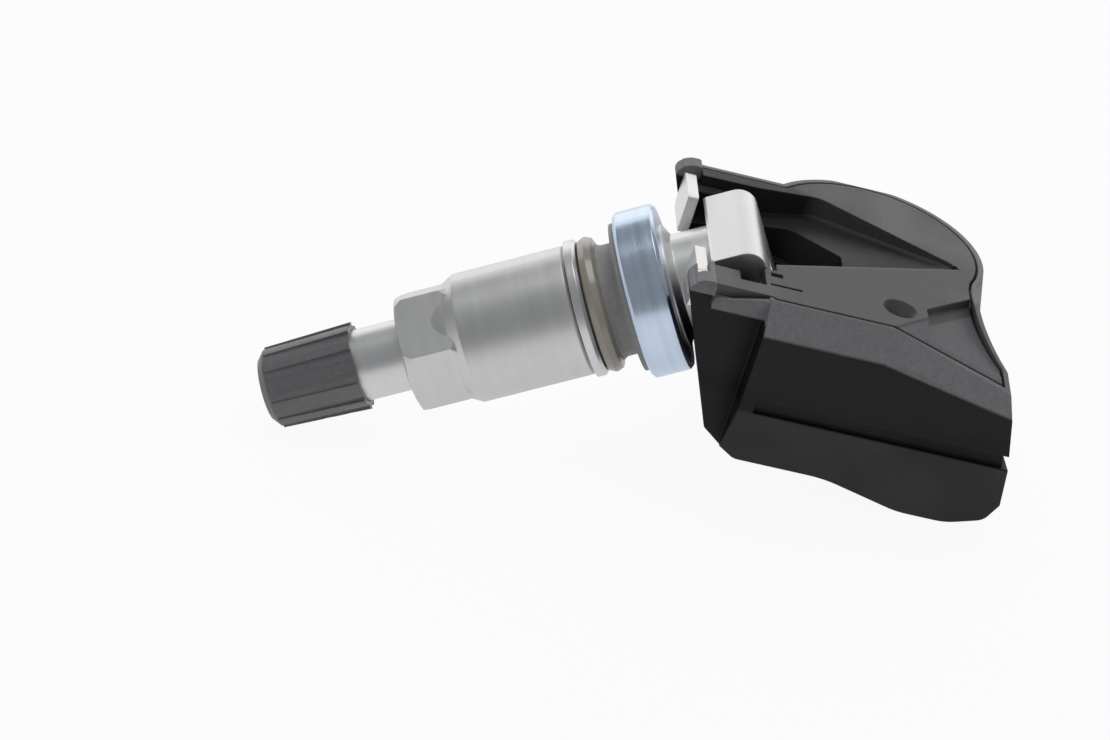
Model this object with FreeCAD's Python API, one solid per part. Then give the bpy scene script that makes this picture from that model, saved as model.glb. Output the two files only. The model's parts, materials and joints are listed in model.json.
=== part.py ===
import FreeCAD, Part
import math
import os

# Tyre pressure sensor with a clamp-in valve: an aluminium stem with a tee-shaped head swivels in the
# cradle of a moulded housing, and a collar nut clamps a rubber grommet to the wheel rim.
# Millimetres. The sensor lies as it comes to rest: on the outer rim of its cap and the rear of its housing.
# +X runs from the cap to the housing, +Y away from the viewer, +Z up.
# The origin is the centre of the grommet's neck, where the wheel rim sits.

V = FreeCAD.Vector

# Swivel: the angle between the stem and the housing's top, at the lower stop
swivelAngle = 31.0
swivelClearance = 0.05

# Tee head of the stem
headThick = 5.4
headLength = 14.4
headRadius = 6.0
headTopFlat = 5.5
headRearRound = 2.1

# Stem, from the head outwards
neckRadius = 5.3
neckLength = 4.0
collarRadius = 6.6
collarThick = 0.3
flareLength = 0.7
ringSeatRadius = 5.0
grommetSeatRadius = 4.3
threadRadius = 3.875
threadEnd = 50.9
airBoreRadius = 1.3
coreChamberRadius = 2.65
coreChamberDepth = 7.4
coreSeatRadius = 2.2
coreSeatDepth = 14.2
mouthChamfer = 0.5
threadPitch = 0.794

# Support ring, grommet and washers, stacked on the stem
ringRadius = 9.0
ringThick = 4.4
ringBevel = 0.35
ringClearance = 0.03
grommetFlangeRadius = 8.0
grommetFlangeThick = 0.6
grommetNeckRadius = 6.3
grommetNeckLength = 2.0
grommetWaist = 0.25
sealWasherRadius = 7.35
sealWasherThick = 1.9
sealWasherRound = 0.9
thrustWasherRadius = 7.4
thrustWasherThick = 1.2
thrustWasherBevel = 0.35

# Collar nut
nutGap = 0.12
nutSleeveRadius = 7.0
nutSleeveLength = 12.3
nutShoulderLength = 1.3
nutShoulderRadius = 6.3
hexAcrossFlats = 12.0
hexLength = 5.3
hexEndRound = 1.1
hexTurn = 6.7
nutBoreClearance = 0.05
nutReliefRadius = 5.6
nutReliefDepth = 5.0
nutEdgeBevel = 0.3

# Cap
capLength = 10.5
capBaseRadius = 4.45
capTipRadius = 4.25
capEdgeRound = 0.9
capWall = 1.1
capEndWall = 1.2
capClearance = 0.08
capRibCount = 12
capRibHeight = 0.32
capRibWidth = 1.1
capToothDepth = 0.9
capSealThick = 0.58
capSealGap = 0.02

# Valve core
coreRadius = 2.6
coreLength = 8.0
coreSink = 0.5
coreWaistRadius = 2.0
coreWaistLength = 2.4
coreEndWall = 0.9
coreInnerWall = 1.3
coreRoomRadius = 1.5
corePinRadius = 0.45
corePinHole = 0.52
corePinSink = 0.15
coreAirHole = 0.8
coreCollarRadius = 1.25
coreCollarThick = 0.45
coreCupRadius = 1.7
coreCupThick = 1.3
coreCupGap = 0.02
corePinTravel = 1.6
springRadius = 1.0
springWire = 0.15
springTurns = 4
springSteps = 8

# Housing: stations along it from the swivel axis, widths each side, heights from the swivel axis
topHeight = 4.1
frontTop = -8.2
frontLean = 0.4
frontFoot = -12.6
blockEnd = 0.6
blockHalfWidth = 14.0
nearHalfWidth = 16.05
nearTopEdge = 13.8
bandDrop = 3.3
creaseHeight = -8.0
nearFootWidth = 12.6
farShoulder = 13.6
bulgeRadius = 12.35
bulgeAlong = 13.5
bulgeAcross = 5.5
bulgeFootTaper = 0.8
rearTop = 26.7
rearLean = 0.26
rearWaistFrom = 3.1
rearPlan = ((24.2, -4.6), (26.0, -10.4), (26.6, -11.4), (26.7, -16.05))
soleHeight = -15.7
soleFrom = 2.6
soleDipFrom = 12.5
soleLow = -18.35
soleLowFrom = 21.5
soleLowTo = 27.0
heelHeight = -16.6
heelAlong = 30.6
rearFoot = -13.6
wall = 1.4
grooveDepth = 0.55
grooveHeight = 1.6
facetFrom = (13.5, -13.8)
facetTo = (24.1, -3.9)
facetSlope = 0.43
panelCorners = ((17.9, -8.1, 3.5), (23.9, -2.9, 3.1), (27.3, -13.0, 0.2))
panelNearEdge = 12.5
bandFoot = (28.0, -2.2)
bandFall = 3.83
bandSkin = 2.2
edgeRound = 0.6
frontRound = 1.0
blockNearWidth = 12.9
flangeThick = 1.0
ledgeThick = 2.5
wedgeHigh = 1.5
wedgeTo = 0.5
wedgeEnd = 0.2

# Cover plate, its pocket and its small openings
coverThick = 1.2
coverFront = -5.1
coverNearEdge = 13.4
rimWidth = 0.9
seamGap = 0.3
pocketFront = 0.35
pocketCorners = ((22.6, 3.5, 0.3), (-9.0, -9.6, 0), (-9.0, 11.0, 0), (1.3, 11.2, 0), (8.2, 12.2, 2.0))
pocketFloorFront = 0.8
pocketFloorSlope = 0.13
pocketRoll = 1.0
bowlCorners = ((-9.0, 8.3, 0), (5.2, 8.5, 2.4), (10.3, 3.3, 0.5), (10.3, -1.4, 1.5), (1.0, -5.2, 0.5),
               (-9.0, -5.2, 0))
bowlFloor = -2.2
trayWall = 0.9
trayFit = 0.05
portAlong = 14.9
portAcross = 9.3
portRadius = 0.8
portMouthRadius = 1.85
portMouthDepth = 1.3
portBossRadius = 3.2
portBossFoot = -1.2
markSlots = ((1.65, -8.3, 1.3, 0.8), (2.5, -10.5, 3.4, 0.4))
markDepth = 0.7

# Cradle between the ears, and the keeper plates in their slots
earInner = 9.1
earFloor = 0.6
earRise = 0.4
earCrest = 1.2
headGap = 0.3
swivelRange = 12.0
notchFrom = -2.4
notchAcross = 10.9
notchFloor = -2.5
cradleHalfWidth = 7.35
cradleWall = 1.4
neckRoom = 0.2
ringRoom = 0.35
keeperAlong = -6.42
keeperThick = 1.15
keeperFrom = 5.4
keeperTo = 11.6
keeperHeight = 4.3
keeperSink = 0.05
keeperRound = 1.0
keeperFit = 0.03

# Electronics inside; places are stations along and across from the swivel axis
cellRadius = 10.0
cellThick = 5.0
cellStep = 1.2
cellFoot = -14.0
cellSeatInner = 8.4
boardTop = -6.4
boardThick = 1.0
boardFrom = 5.0
boardTo = 24.6
boardNear = 13.6
boardFar = 13.2
boardFit = 0.4
postRadius = 1.2
postPin = 0.55
postPlaces = ((8.6, -12.0), (22.4, -12.0), (23.2, -3.0))
sensorSize = 6.0
sensorHeight = 2.2
portSealWall = 0.9
coilAlong = 20.2
coilAcross = 1.5
coilLength = 9.0
coilSide = 3.0
coilFlange = 0.7
tabThick = 0.2
tabWidth = 3.2
tabReach = 5.0
tabGap = 0.2
antennaWidth = 1.2
antennaThick = 0.4
antennaHeight = 2.6
antennaFrom = 9.0
antennaTo = 19.0
antennaAcross = 10.2
chipPlaces = ((9.6, -6.2, 1.6, 0.8, 0.8), (9.6, -4.2, 1.6, 0.8, 0.8), (9.6, -2.2, 1.6, 0.8, 0.8),
              (19.6, -6.4, 3.2, 2.5, 0.9), (10.2, 8.0, 2.0, 1.2, 1.0), (13.4, 8.6, 1.6, 0.8, 0.8))

hexRadius = hexAcrossFlats / math.cos(math.radians(30)) / 2

# Stations along the stem, measured from the swivel axis towards the cap
headFront = headThick / 2
neckEnd = headFront + neckLength
collarFrom = neckEnd + flareLength
ringFrom = collarFrom + collarThick
ringTo = ringFrom + ringThick
grommetNeckFrom = ringTo + grommetFlangeThick
rimSeat = grommetNeckFrom + grommetNeckLength / 2
sealWasherFrom = grommetNeckFrom + grommetNeckLength
thrustWasherFrom = sealWasherFrom + sealWasherThick
nutFrom = thrustWasherFrom + thrustWasherThick + nutGap
nutSleeveTo = nutFrom + nutSleeveLength
hexFrom = nutSleeveTo + nutShoulderLength
nutTo = hexFrom + hexLength
capTo = threadEnd + capSealThick + capSealGap + capEndWall
capFrom = capTo - capLength
nutTravel = capFrom - nutTo - 0.3


def arcPoint(centre, radius, degrees):
    """A point of a circle in the XZ plane."""
    angle = math.radians(degrees)
    return V(centre[0] + radius * math.cos(angle), 0, centre[1] + radius * math.sin(angle))


def roundedFace(corners, toVector):
    """A flat face whose corners (u, v, radius) are rounded by tangent arcs."""
    edges = []
    joints = []
    count = len(corners)
    for i in range(count):
        u, v, radius = corners[i]
        before = FreeCAD.Vector(*corners[i - 1][:2], 0) - V(u, v, 0)
        after = FreeCAD.Vector(*corners[(i + 1) % count][:2], 0) - V(u, v, 0)
        here = V(u, v, 0)
        if radius == 0:
            joints.append((here, here, here))
            continue
        before.normalize()
        after.normalize()
        half = math.acos(max(-1, min(1, before.dot(after)))) / 2
        reach = radius / math.tan(half)
        middle = before + after
        middle.normalize()
        centre = here + middle * (radius / math.sin(half))
        joints.append((here + before * reach, centre - middle * radius, here + after * reach))
    for i in range(count):
        start, middle, end = joints[i]
        if (start - end).Length > 1e-6:
            edges.append(Part.Arc(toVector(start), toVector(middle), toVector(end)).toShape())
        following = joints[(i + 1) % count][0]
        if (following - end).Length > 1e-6:
            edges.append(Part.LineSegment(toVector(end), toVector(following)).toShape())
    return Part.Face(Part.Wire(edges))


def turned(profile):
    """A solid of revolution about the stem's axis from (station, radius) points; cap side is -X."""
    points = [V(-station, 0, radius) for station, radius in profile]
    face = Part.Face(Part.makePolygon(points + [points[0]]))
    return face.revolve(V(0, 0, 0), V(1, 0, 0), 360)


def rod(fromStation, toStation, radius):
    return Part.makeCylinder(radius, toStation - fromStation, V(-toStation, 0, 0), V(1, 0, 0))


def roundProfile(fromStation, toStation, inner, outer, roundness, steps=2):
    """Points of a ring's section whose outer corners are rounded."""
    points = [(fromStation, inner)]
    for corner, start in ((fromStation + roundness, 180), (toStation - roundness, 90)):
        for step in range(steps + 1):
            angle = math.radians(start - 90 * step / steps)
            points.append((corner + roundness * math.cos(angle),
                           outer - roundness * (1 - math.sin(angle))))
    points.append((toStation, inner))
    return points


def upright(alongFrom, alongTo, acrossFrom, acrossTo, low, high):
    """A box in the housing's frame; across is positive away from the viewer."""
    return Part.makeBox(alongTo - alongFrom, acrossTo - acrossFrom, high - low, V(alongFrom, acrossFrom, low))


# Stem and what is stacked on it
def makeStem():
    bend = headFront - headRearRound
    shoulder = headTopFlat - headRearRound
    head = Part.Face(Part.Wire([
        Part.makePolygon([V(-headFront, 0, -headCorner), V(-headFront, 0, headCorner),
                          V(-headFlatFrom, 0, headTopFlat), V(bend, 0, headTopFlat)]),
        Part.Arc(V(bend, 0, headTopFlat), arcPoint((bend, shoulder), headRearRound, 45),
                 V(headFront, 0, shoulder)).toShape(),
        Part.LineSegment(V(headFront, 0, shoulder), V(headFront, 0, -headCorner)).toShape(),
        Part.Arc(V(headFront, 0, -headCorner), V(0, 0, -headRadius),
                 V(-headFront, 0, -headCorner)).toShape()]))
    head.translate(V(0, -headLength / 2, 0))
    stem = head.extrude(V(0, headLength, 0))
    shank = turned([(0, 0), (0, neckRadius), (neckEnd, neckRadius), (collarFrom, collarRadius),
                    (ringFrom, collarRadius), (ringFrom, ringSeatRadius), (ringTo, ringSeatRadius),
                    (ringTo, grommetSeatRadius), (thrustWasherFrom, grommetSeatRadius),
                    (thrustWasherFrom, threadRadius), (threadEnd - mouthChamfer, threadRadius),
                    (threadEnd, threadRadius - mouthChamfer), (threadEnd, 0)])
    stem = stem.fuse(shank)
    for bore in (rod(-headThick, threadEnd, airBoreRadius),
                 rod(threadEnd - coreSeatDepth, threadEnd, coreSeatRadius),
                 rod(threadEnd - coreChamberDepth, threadEnd, coreChamberRadius)):
        stem = stem.cut(bore)
    return stem.removeSplitter()


headCorner = math.sqrt(headRadius ** 2 - headFront ** 2)
headFlatFrom = math.sqrt(headRadius ** 2 - headTopFlat ** 2)


def makeSupportRing():
    inner = ringSeatRadius + ringClearance
    return turned([(ringFrom, inner), (ringFrom, ringRadius - ringBevel), (ringFrom + ringBevel, ringRadius),
                   (ringTo - ringBevel, ringRadius), (ringTo, ringRadius - ringBevel), (ringTo, inner)])


def makeGrommet():
    waist = grommetNeckRadius - grommetWaist
    quarter = grommetNeckLength / 4
    return turned([(ringTo, grommetSeatRadius), (ringTo, grommetFlangeRadius),
                   (grommetNeckFrom, grommetFlangeRadius), (grommetNeckFrom, grommetNeckRadius),
                   (rimSeat - quarter, waist), (rimSeat + quarter, waist),
                   (sealWasherFrom, grommetNeckRadius), (sealWasherFrom, grommetSeatRadius)])


def makeSealWasher():
    return turned(roundProfile(sealWasherFrom, thrustWasherFrom, grommetSeatRadius, sealWasherRadius,
                               sealWasherRound))


def makeThrustWasher():
    inner = threadRadius + nutBoreClearance
    end = thrustWasherFrom + thrustWasherThick
    return turned([(thrustWasherFrom, inner), (thrustWasherFrom, thrustWasherRadius - thrustWasherBevel),
                   (thrustWasherFrom + thrustWasherBevel, thrustWasherRadius), (end, thrustWasherRadius),
                   (end, inner)])


def makeCollarNut():
    sleeve = turned([(nutFrom, 0), (nutFrom, nutSleeveRadius - nutEdgeBevel),
                     (nutFrom + nutEdgeBevel, nutSleeveRadius), (nutSleeveTo, nutSleeveRadius),
                     (hexFrom, nutShoulderRadius), (nutTo, nutShoulderRadius - hexEndRound), (nutTo, 0)])
    corners = []
    for i in range(7):
        angle = math.radians(hexTurn + 60 * i)
        corners.append(V(-nutTo, -hexRadius * math.sin(angle), hexRadius * math.cos(angle)))
    hexagon = Part.Face(Part.makePolygon(corners)).extrude(V(nutTo - hexFrom + nutShoulderLength, 0, 0))
    envelope = [(nutSleeveTo, 0), (nutSleeveTo, nutShoulderRadius), (hexFrom, hexRadius)]
    for step in range(3):
        angle = math.radians(90 - 45 * step)
        envelope.append((nutTo - hexEndRound * (1 - math.cos(angle)),
                         hexRadius - hexEndRound * (1 - math.sin(angle))))
    envelope.append((nutTo, 0))
    nut = sleeve.fuse(hexagon.common(turned(envelope)))
    nut = nut.cut(rod(nutFrom, nutTo, threadRadius + nutBoreClearance))
    return nut.cut(rod(nutFrom, nutFrom + nutReliefDepth, nutReliefRadius)).removeSplitter()


# Cap: a ribbed moulding with notches round its open rim
def makeCap():
    outline = [(capFrom, 0), (capFrom, capBaseRadius)]
    for step in range(4):
        angle = math.radians(90 - 30 * step)
        outline.append((capTo - capEdgeRound * (1 - math.cos(angle)),
                        capTipRadius - capEdgeRound * (1 - math.sin(angle))))
    outline.append((capTo, 0))
    cap = turned(outline)
    ribEnd = capTo - capEdgeRound
    for i in range(capRibCount):
        rib = Part.makeBox(ribEnd - capFrom, capRibWidth, capBaseRadius + capRibHeight,
                           V(-ribEnd, -capRibWidth / 2, 0))
        rib.rotate(V(0, 0, 0), V(1, 0, 0), 360 * i / capRibCount)
        cap = cap.fuse(rib)
    envelope = [(capFrom, 0), (capFrom, capBaseRadius + capRibHeight),
                (ribEnd, capTipRadius + capRibHeight / 2), (capTo, capTipRadius - capEdgeRound), (capTo, 0)]
    cap = cap.common(turned(envelope))
    for i in range(capRibCount):
        notch = Part.makeBox(capToothDepth, capRibWidth, capRibHeight + 1,
                             V(-capFrom - capToothDepth, -capRibWidth / 2, capBaseRadius))
        notch.rotate(V(0, 0, 0), V(1, 0, 0), 360 * (i + 0.5) / capRibCount)
        cap = cap.cut(notch)
    return cap.cut(rod(capFrom, capTo - capEndWall, threadRadius + capClearance)).removeSplitter()


def makeCapSeal():
    return rod(threadEnd, threadEnd + capSealThick, threadRadius)


# Valve core, screwed into the mouth of the stem
coreTo = threadEnd - coreSink
coreFrom = coreTo - coreLength
coreRoomTo = coreTo - coreEndWall
coreRoomFrom = coreFrom + coreInnerWall
coreCollarFrom = coreRoomTo - coreCollarThick - 0.3


def makeCoreBody():
    body = turned([(coreFrom, 0), (coreFrom, coreWaistRadius), (coreFrom + coreWaistLength, coreWaistRadius),
                   (coreFrom + coreWaistLength, coreRadius), (coreTo, coreRadius), (coreTo, 0)])
    for bore in (rod(coreRoomFrom, coreRoomTo, coreRoomRadius), rod(coreRoomTo, coreTo, corePinHole),
                 rod(coreFrom, coreRoomFrom, coreAirHole)):
        body = body.cut(bore)
    return body


def makeCoreGasket():
    return turned(roundProfile(coreFrom + 0.2, coreFrom + coreWaistLength, coreWaistRadius,
                               coreSeatRadius - 0.01, 0.1, 2))


def makeCorePin():
    pin = rod(coreFrom - coreCupThick - 0.6, threadEnd - corePinSink, corePinRadius)
    return pin.fuse(rod(coreCollarFrom, coreCollarFrom + coreCollarThick, coreCollarRadius))


def makeCoreSpring():
    """A coil of wire, swept in short straight steps with a six-sided section."""
    length = coreCollarFrom - coreRoomFrom - corePinTravel - 2 * springWire - 0.1
    points = []
    for step in range(springTurns * springSteps + 1):
        angle = 2 * math.pi * step / springSteps
        points.append(V(length * step / (springTurns * springSteps) - coreCollarFrom + springWire,
                        springRadius * math.cos(angle), springRadius * math.sin(angle)))
    direction = points[1] - points[0]
    direction.normalize()
    across = direction.cross(V(1, 0, 0))
    across.normalize()
    over = direction.cross(across)
    ring = []
    for corner in range(7):
        angle = math.radians(60 * corner)
        ring.append(points[0] + (across * math.cos(angle) + over * math.sin(angle)) * springWire)
    path = Part.Wire(Part.makePolygon(points))
    return path.makePipeShell([Part.Wire(Part.makePolygon(ring))], True, False, 1)


def makeCoreCup():
    to = coreFrom - coreCupGap
    foot = to - coreCupThick
    cup = turned([(foot, 0), (foot, coreCupRadius - 0.3), (to, coreCupRadius), (to, 0)])
    return cup.cut(rod(foot, to, corePinRadius))


# Housing sections, drawn in the housing's own frame
def frontAt(height):
    return frontTop + frontLean * (topHeight - height)


def rearAt(height):
    return rearTop + rearLean * (topHeight - height)


soleCorners = [(rearAt(rearFoot), rearFoot, 1.2), (heelAlong, heelHeight, 1.6), (soleLowTo, soleLow, 5.0),
               (soleLowFrom, soleLow, 8.0), (soleDipFrom, soleHeight, 12.0), (soleFrom, soleHeight, 1.5)]


def sideFace():
    corners = [(frontAt(topHeight), topHeight, frontRound), (rearAt(topHeight), topHeight, edgeRound)]
    corners += soleCorners
    corners.append((frontAt(frontFoot), frontFoot, 0.8))
    return roundedFace(corners, lambda p: V(p.x, 0, p.y))


def crossFace():
    """Section across the main body; the viewer's side is negative."""
    farEdge = bulgeAcross + bulgeRadius
    foot = -25.0
    share = (foot - creaseHeight) / (soleHeight - creaseHeight)
    nearFoot = nearHalfWidth - (nearHalfWidth - nearFootWidth) * share
    farFoot = farEdge - bulgeFootTaper * share
    corners = [(-nearTopEdge, topHeight, 0.3), (farEdge, topHeight, edgeRound), (farEdge, creaseHeight, 0.8),
               (farFoot, foot, 0), (-nearFoot, foot, 0), (-nearHalfWidth, creaseHeight, 0.8),
               (-nearHalfWidth, topHeight - bandDrop, 0.5)]
    return roundedFace(corners, lambda p: V(0, p.x, p.y))


def planFace():
    """Outline seen from above, with the round bulge over the cell."""
    start = math.degrees(math.acos((farShoulder - bulgeAcross) / bulgeRadius))
    low = V(bulgeAlong - bulgeRadius * math.sin(math.radians(start)), farShoulder, 0)
    side = V(bulgeAlong + math.sqrt(bulgeRadius ** 2 - (bulgeAcross - rearWaistFrom) ** 2), rearWaistFrom, 0)
    top = V(bulgeAlong, bulgeAcross + bulgeRadius, 0)
    far = rearAt(soleLow) + 1
    edges = [Part.Arc(low, top, side).toShape(),
             Part.makePolygon([side, V(far, rearWaistFrom, 0), V(far, -nearHalfWidth - 1, 0),
                               V(blockEnd, -nearHalfWidth - 1, 0), V(blockEnd, -blockHalfWidth, 0),
                               V(frontTop - 1, -blockHalfWidth, 0), V(frontTop - 1, blockHalfWidth, 0),
                               V(coverFront, blockHalfWidth, 0), V(coverFront, farShoulder, 0), low])]
    return Part.Face(Part.Wire(edges))


def rearSolid(inset):
    """Everything in front of the leaning, hollowed rear wall."""
    far = bulgeAcross + bulgeRadius
    above = wall
    height = topHeight - soleLow + 2 + above
    start = bulgeAlong + math.sqrt(bulgeRadius ** 2 - (bulgeAcross - rearWaistFrom) ** 2)
    points = [V(start - inset, rearWaistFrom, 0)]
    for along, across in rearPlan:
        points.append(V(along - inset, across, 0))
    edges = [Part.Arc(*points[:3]).toShape(),
             Part.makePolygon(points[2:] + [V(frontTop - 2, -nearHalfWidth, 0), V(frontTop - 2, far, 0),
                                            V(rearTop + bulgeRadius, far, 0),
                                            V(rearTop + bulgeRadius, rearWaistFrom, 0), points[0]])]
    face = Part.Face(Part.Wire(edges))
    face.translate(V(-rearLean * above, 0, topHeight + above))
    lean = V(rearLean, 0, -1)
    solid = face.extrude(lean * height)
    bulge = Part.makeCylinder(bulgeRadius - inset, height, V(bulgeAlong, bulgeAcross, topHeight + above),
                              V(0, 0, -1))
    return solid.fuse(bulge)


def wallsForm(inset):
    """The upright walls only, open above and below."""
    plan = planFace()
    if inset:
        plan = plan.makeOffset2D(-inset)
    plan.translate(V(0, 0, soleLow - 3))
    return plan.extrude(V(0, 0, topHeight - soleLow + 6)).common(rearSolid(inset))


def housingForm(inset):
    """The body as the meeting of its three outlines, all taken in by the same inset."""
    side, cross = sideFace(), crossFace()
    if inset:
        side, cross = side.makeOffset2D(-inset), cross.makeOffset2D(-inset)
    reach = 2 * (bulgeAcross + bulgeRadius)
    side.translate(V(0, -reach / 2, 0))
    cross.translate(V(frontTop - 3, 0, 0))
    form = side.extrude(V(0, reach, 0))
    form = form.common(cross.extrude(V(rearAt(soleLow) - frontTop + 8, 0, 0)))
    return form.common(wallsForm(inset))


def wedgeAbove(start, end, step, slope):
    """All above a plane that falls away outwards from a line, beginning a step below the top."""
    line = V(end[0] - start[0], end[1] - start[1], 0)
    line.normalize()
    outward = V(-line.y, line.x, 0)
    if outward.y > 0:
        outward = outward * -1
    reach = 60
    base = V(start[0], start[1], topHeight - step) - line * reach
    far = base + outward * reach - V(0, 0, slope * reach)
    lift = V(0, 0, reach)
    face = Part.Face(Part.makePolygon([base, far, far + lift, base + lift, base]))
    return face.extrude(line * (3 * reach))


def abovePlane(first, second, third):
    """All above the plane through three points."""
    normal = (second - first).cross(third - first)
    if normal.z < 0:
        normal = normal * -1
    block = Part.makeBox(200, 200, 60, V(-100, -100, 0))
    block.Placement = FreeCAD.Placement(first, FreeCAD.Rotation(V(0, 0, 1), normal))
    return block


def facetCut(drop):
    """What the sloping facet takes off the top's rear near corner."""
    return wedgeAbove(facetFrom, facetTo, drop, facetSlope)


def panelCut(drop):
    """The sunk panel in the facet: it begins behind a line and ends short of the seam."""
    points = []
    for along, across, height in panelCorners:
        points.append(V(along, across, height - drop))
    block = abovePlane(*points)
    line = points[1] - points[0]
    line.z = 0
    line.normalize()
    start = points[0] - line * 0.01
    start.z = -80
    corners = [start, start + line * 60, start + line * 60 + V(0, -100, 0), V(start.x, -panelNearEdge, -80)]
    corners[2].y = -panelNearEdge
    area = Part.Face(Part.makePolygon(corners + [start])).extrude(V(0, 0, 160))
    return block.common(area)


def bandCut(drop):
    """The chamfer beside the cover turns down with the facet: all above its plane."""
    return abovePlane(V(facetFrom[0], -nearTopEdge, topHeight - drop),
                      V(bandFoot[0], -nearTopEdge, topHeight - bandFall - drop),
                      V(bandFoot[0], -nearHalfWidth, bandFoot[1] - drop))


def sideGroove():
    """The shallow groove that runs round the near side and the rear, above the crease."""
    outer = housingForm(0)
    inner = housingForm(grooveDepth)
    band = upright(blockEnd + 1.5, rearAt(soleLow) + 2, -nearHalfWidth - 1, rearWaistFrom,
                   creaseHeight, creaseHeight + grooveHeight)
    return outer.cut(inner).common(band)


def pocketTool(grow, drop):
    """The pocket behind the head, with the deeper bowl that the head's rear swings over."""
    flat = roundedFace(pocketCorners, lambda p: V(p.x, p.y, -30))
    if grow:
        flat = flat.makeOffset2D(grow)
    prism = flat.extrude(V(0, 0, 60))
    start, end = -20, 40
    low = pocketFloorFront - drop
    floor = Part.Face(Part.makePolygon([V(start, -40, low + pocketFloorSlope * start),
                                        V(end, -40, low + pocketFloorSlope * end), V(end, -40, 30),
                                        V(start, -40, 30), V(start, -40, low + pocketFloorSlope * start)]))
    main = prism.common(floor.extrude(V(0, 80, 0)))
    deep = roundedFace(bowlCorners, lambda p: V(p.x, p.y, bowlFloor - drop))
    if grow:
        deep = deep.makeOffset2D(grow)
    return main.fuse(deep.extrude(V(0, 0, topHeight - bowlFloor)))


def lidZone(drop, rim, nearEdge):
    """Where the cover lies: above its seat, inside the walls by the rim."""
    zone = upright(coverFront, 60, -30, 30, topHeight - coverThick, 30)
    zone = zone.fuse(facetCut(coverThick)).fuse(panelCut(coverThick))
    zone = zone.common(upright(coverFront, 60, -nearEdge, 30, -30, 30))
    return zone.common(wallsForm(rim))


def headRoom():
    """The open space that the head and the neck lie and swing in."""
    radius = headRadius + swivelClearance
    room = Part.makeCylinder(radius, 2 * cradleHalfWidth, V(0, -cradleHalfWidth, 0), V(0, 1, 0))
    room = room.common(upright(-radius, radius, -cradleHalfWidth, cradleHalfWidth, -radius, 0))
    half = headFront + headGap
    for swing in (0, swivelRange):
        block = upright(-half, half, -cradleHalfWidth, cradleHalfWidth, -headRearRound, topHeight + 4)
        block.rotate(V(0, 0, 0), V(0, 1, 0), swing - swivelAngle)
        room = room.fuse(block)
    room = room.fuse(upright(frontTop - 1, pocketFront, -earInner, earInner, earFloor, topHeight + 2))
    room = room.fuse(upright(notchFrom, pocketFront, -notchAcross, -headLength / 2, notchFloor,
                             topHeight + 2))
    neck = rod(0, ringTo, neckRadius + neckRoom)
    neck = neck.fuse(rod(neckEnd - 0.3, ringTo, collarRadius + neckRoom))
    neck = neck.fuse(rod(ringFrom - ringRoom, ringTo + 6, ringRadius + ringRoom))
    neck.rotate(V(0, 0, 0), V(0, 1, 0), -swivelAngle)
    room = room.fuse(neck)
    above = upright(frontTop - 4, 0, -neckRadius - neckRoom, neckRadius + neckRoom, 0, topHeight + 2)
    above.rotate(V(0, 0, 0), V(0, 1, 0), -swivelAngle)
    return room.fuse(above)


def keeperSlots():
    low = topHeight - keeperSink - keeperHeight
    slot = upright(keeperAlong - keeperThick / 2 - keeperFit, keeperAlong + keeperThick / 2 + keeperFit,
                   keeperFrom, keeperTo + keeperFit, low, topHeight + 1)
    return slot.fuse(slot.mirror(V(0, 0, 0), V(0, 1, 0)))


def frontRecess():
    """The front block's near wall stands back under its flange and under the ledge beside the cover."""
    low = soleLow - 5
    ear = upright(frontTop - 20, coverFront, -30, -blockNearWidth, low, topHeight - flangeThick)
    side = upright(coverFront - 1, blockEnd, -30, -blockNearWidth, low, topHeight - ledgeThick)
    start = V(coverFront, -30, topHeight)
    wedge = Part.Face(Part.makePolygon([start, V(coverFront, -30, topHeight - wedgeHigh),
                                        V(wedgeTo, -30, topHeight - wedgeEnd), V(wedgeTo, -30, topHeight),
                                        start]))
    return ear.fuse(side).fuse(wedge.extrude(V(0, 30 - blockNearWidth - 0.2, 0)))


def earTops():
    """The ears rise a little towards the cover."""
    low = topHeight - edgeRound
    corners = [(frontTop + frontRound, low, 0), (frontTop + frontRound, topHeight, 0),
               (coverFront - earCrest, topHeight + earRise, 1.5), (coverFront, topHeight + earRise, 0.3),
               (coverFront, low, 0)]
    face = roundedFace(corners, lambda p: V(p.x, -nearTopEdge, p.y))
    return face.extrude(V(0, nearTopEdge + blockHalfWidth, 0))


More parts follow.
